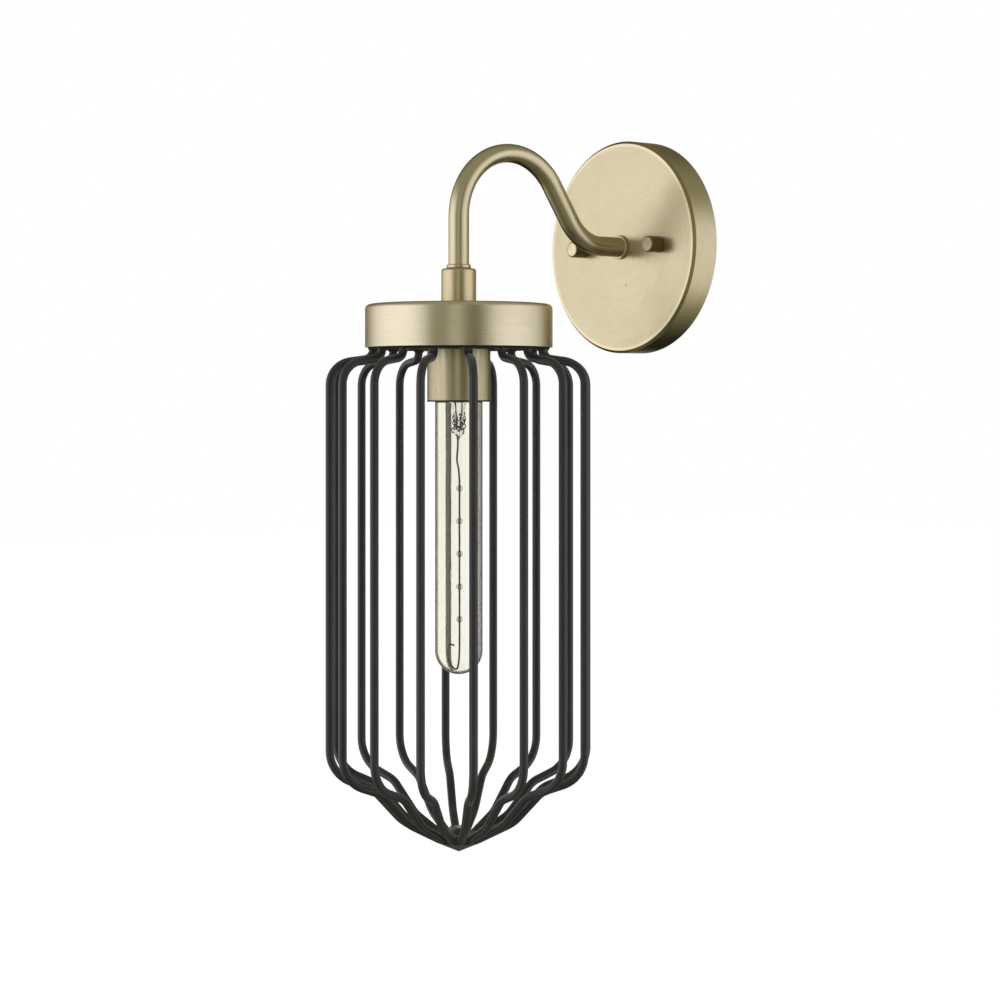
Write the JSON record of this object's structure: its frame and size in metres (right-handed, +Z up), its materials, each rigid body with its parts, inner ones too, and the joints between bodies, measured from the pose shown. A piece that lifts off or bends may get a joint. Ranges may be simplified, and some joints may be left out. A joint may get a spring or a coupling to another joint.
{
  "type": "cage wall light",
  "caption": "Wall light with a round wall plate, a gooseneck arm, a shallow round cap with a socket cup and a tall cage of bent wires around a long tubular bulb.",
  "frame": {"origin": "on the wall, at the centre of the wall plate and midway between the two box screw slots", "axes": "+X to the right seen from the front, +Y into the wall, +Z up"},
  "size_m": [0.1564, 0.2275, 0.4318],
  "materials": {
    "aged_brass": "aged, brushed, satin lacquer",
    "dark_bronze": "dark bronzed, fine knurl",
    "zinc_steel": "zinc plated",
    "green_screw": "green dyed zinc",
    "black_coat": "satin black powder coat",
    "porcelain": "white glaze",
    "bright_brass": "bright stamped",
    "clear_glass": "clear, faint amber",
    "black_glass": "black fused glass",
    "solder": "dull solder",
    "dark_wire": "drawn wire",
    "black_jacket": "matt",
    "white_jacket": "matt",
    "green_jacket": "matt"
  },
  "bodies": {
    "fixture": {"wall_plate": "aged_brass", "mounting_strap": "zinc_steel", "plate_studs": "zinc_steel", "stud_lock_nuts": "zinc_steel", "ground_screw": "green_screw", "arm_tube": "aged_brass", "arm_collar": "aged_brass", "arm_tail_nipple": "zinc_steel", "tail_lock_washer": "zinc_steel", "tail_nut": "zinc_steel", "arm_ferrule": "aged_brass", "arm_leg_nipple": "zinc_steel", "neck_coupling": "aged_brass", "cap": "aged_brass", "cap_nipple": "zinc_steel", "cap_lock_washer": "zinc_steel", "cap_lock_nut": "zinc_steel", "keyhole_plate": "zinc_steel", "socket_cup": "aged_brass", "lampholder_bracket": "zinc_steel", "lampholder_nut": "zinc_steel", "lampholder_body": "porcelain", "lampholder_shell": "bright_brass", "centre_contact": "bright_brass", "live_lead": "black_jacket", "neutral_lead": "white_jacket", "ground_lead": "green_jacket"},
    "left_nut": {"left_cap_nut": "dark_bronze"},
    "right_nut": {"right_cap_nut": "dark_bronze"},
    "cage": {"cage_plate": "black_coat", "cage_posts": "zinc_steel", "cage_hub": "black_coat", "cage_tip": "black_coat", "cage_tip_nut": "zinc_steel", "cage_wire_01": "black_coat", "cage_wire_02": "black_coat", "cage_wire_03": "black_coat", "cage_wire_04": "black_coat", "cage_wire_05": "black_coat", "cage_wire_06": "black_coat", "cage_wire_07": "black_coat", "cage_wire_08": "black_coat", "cage_wire_09": "black_coat", "cage_wire_10": "black_coat", "cage_wire_11": "black_coat", "cage_wire_12": "black_coat", "cage_wire_13": "black_coat", "cage_wire_14": "black_coat", "cage_wire_15": "black_coat", "cage_wire_16": "black_coat"},
    "bulb_tip": {"bulb_contact": "solder"},
    "bulb": {"bulb_glass": "clear_glass", "bulb_shell": "bright_brass", "bulb_insulator": "black_glass", "bulb_stem": "clear_glass", "bulb_centre_wire": "dark_wire", "bulb_beads": "clear_glass", "bulb_wires": "dark_wire"}
  },
  "joints": [
    {"name": "left_nut_turn", "type": "hinge", "parent": "fixture", "child": "left_nut", "pos_m": [-0.03492, -0.019, 0], "axis": [0, -1, 0], "range_deg": [0, 360]},
    {"name": "right_nut_turn", "type": "hinge", "parent": "fixture", "child": "right_nut", "pos_m": [0.03492, -0.019, 0], "axis": [0, -1, 0], "range_deg": [0, 360]},
    {"name": "cage_twist", "type": "hinge", "parent": "fixture", "child": "cage", "pos_m": [0, -0.14922, 0], "axis": [0, 0, 1], "range_deg": [-20, 0]},
    {"name": "bulb_travel", "type": "slide", "parent": "fixture", "child": "bulb_tip", "axis": [0, 0, 1], "range_m": [-0.00907, 0]},
    {"name": "bulb_turn", "type": "hinge", "parent": "bulb_tip", "child": "bulb", "pos_m": [0, -0.14922, -0.07], "axis": [0, 0, 1], "range_deg": [-900, 0]}
  ],
  "couplings": [
    {"joint": "bulb_turn", "follows": "bulb_travel", "rad_per_m": 1731.4}
  ]
}
